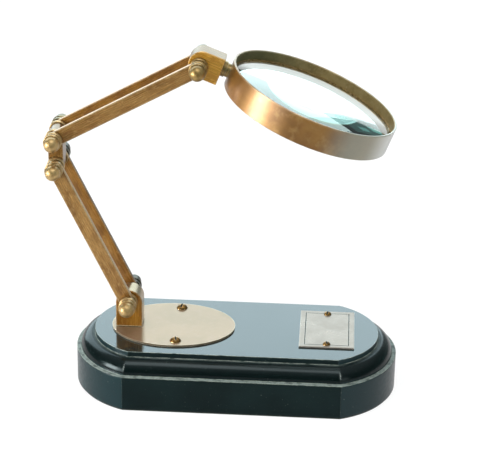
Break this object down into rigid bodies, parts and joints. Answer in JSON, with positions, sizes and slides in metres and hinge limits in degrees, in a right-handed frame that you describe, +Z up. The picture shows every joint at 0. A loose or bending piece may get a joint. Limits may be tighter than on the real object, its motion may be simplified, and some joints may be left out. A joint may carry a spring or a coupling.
{
  "type": "desk magnifier",
  "caption": "Desk magnifier: round lens in a brass ring on a jointed arm of paired flat bars, with clamp nuts at its pivots, on a moulded black wooden base.",
  "frame": {"origin": "centre of the base's underside, on the table", "axes": "+X along the base from the arm's foot towards the lens side, +Y away from the front along the pivot pins, +Z up"},
  "size_m": [0.2193, 0.106, 0.2197],
  "materials": {
    "lacquered_wood": "gloss black lacquer",
    "felt": "felt",
    "polished_brass": "polished",
    "antique_brass": "brushed, antique brown",
    "turned_brass": "turned and polished",
    "dark_brass": "aged",
    "pale_metal": "nickel-plated, satin",
    "steel": "zinc-plated",
    "glass": "clear, polished"
  },
  "bodies": {
    "base": {"plinth": "lacquered_wood", "felt_pad": "felt", "oval_plate": "polished_brass", "plate_screws": "dark_brass", "pivot_block": "antique_brass", "block_screw": "steel", "block_screw_washer": "steel", "nameplate": "pale_metal", "nameplate_screws": "dark_brass"},
    "lower_arm": {"lower_bar_front": "antique_brass", "lower_bar_rear": "antique_brass", "base_pivot_screw": "turned_brass", "lower_elbow_screw": "turned_brass", "base_spacers": "turned_brass", "lower_elbow_spacers": "turned_brass", "base_collars": "turned_brass", "lower_elbow_collars": "turned_brass"},
    "elbow": {"elbow_link": "antique_brass"},
    "upper_arm": {"upper_bar_front": "antique_brass", "upper_bar_rear": "antique_brass", "upper_elbow_screw": "turned_brass", "head_pivot_screw": "turned_brass", "upper_elbow_spacers": "turned_brass", "head_spacers": "turned_brass", "upper_elbow_collars": "turned_brass", "head_collars": "turned_brass"},
    "head": {"head_block": "antique_brass"},
    "lens_holder": {"lens_stem": "turned_brass", "lens_ring": "antique_brass", "lens": "glass", "lens_retainer": "antique_brass"},
    "base_nut": {"base_clamp_nut": "turned_brass"},
    "lower_elbow_nut": {"lower_elbow_nut": "turned_brass"},
    "upper_elbow_nut": {"upper_elbow_nut": "turned_brass"},
    "head_nut": {"head_clamp_nut": "turned_brass"}
  },
  "joints": [
    {"name": "base_pivot", "type": "hinge", "parent": "base", "child": "lower_arm", "pos_m": [-0.0678, 0, 0.0544], "axis": [0, 1, 0], "range_deg": [-50, 40]},
    {"name": "elbow_lower_pivot", "type": "hinge", "parent": "lower_arm", "child": "elbow", "pos_m": [-0.11195, 0, 0.14413], "axis": [0, -1, 0], "range_deg": [-30, 90]},
    {"name": "elbow_upper_pivot", "type": "hinge", "parent": "elbow", "child": "upper_arm", "pos_m": [-0.1123, 0, 0.16242], "axis": [0, 1, 0], "range_deg": [-110, 30]},
    {"name": "head_pivot", "type": "hinge", "parent": "upper_arm", "child": "head", "pos_m": [-0.02459, 0, 0.21044], "axis": [0, -1, 0], "range_deg": [-85, 110]},
    {"name": "lens_twist", "type": "hinge", "parent": "head", "child": "lens_holder", "pos_m": [-0.02368, 0, 0.21278], "axis": [0.9323, 0, -0.3616], "range_deg": [-90, 90]},
    {"name": "base_nut_turn", "type": "hinge", "parent": "lower_arm", "child": "base_nut", "pos_m": [-0.0678, 0, 0.0544], "axis": [0, 1, 0], "range_deg": [0, 360]},
    {"name": "lower_elbow_nut_turn", "type": "hinge", "parent": "lower_arm", "child": "lower_elbow_nut", "pos_m": [-0.11195, 0, 0.14413], "axis": [0, 1, 0], "range_deg": [0, 360]},
    {"name": "upper_elbow_nut_turn", "type": "hinge", "parent": "upper_arm", "child": "upper_elbow_nut", "pos_m": [-0.1123, 0, 0.16242], "axis": [0, 1, 0], "range_deg": [0, 360]},
    {"name": "head_nut_turn", "type": "hinge", "parent": "upper_arm", "child": "head_nut", "pos_m": [-0.02459, 0, 0.21044], "axis": [0, 1, 0], "range_deg": [0, 360]}
  ]
}
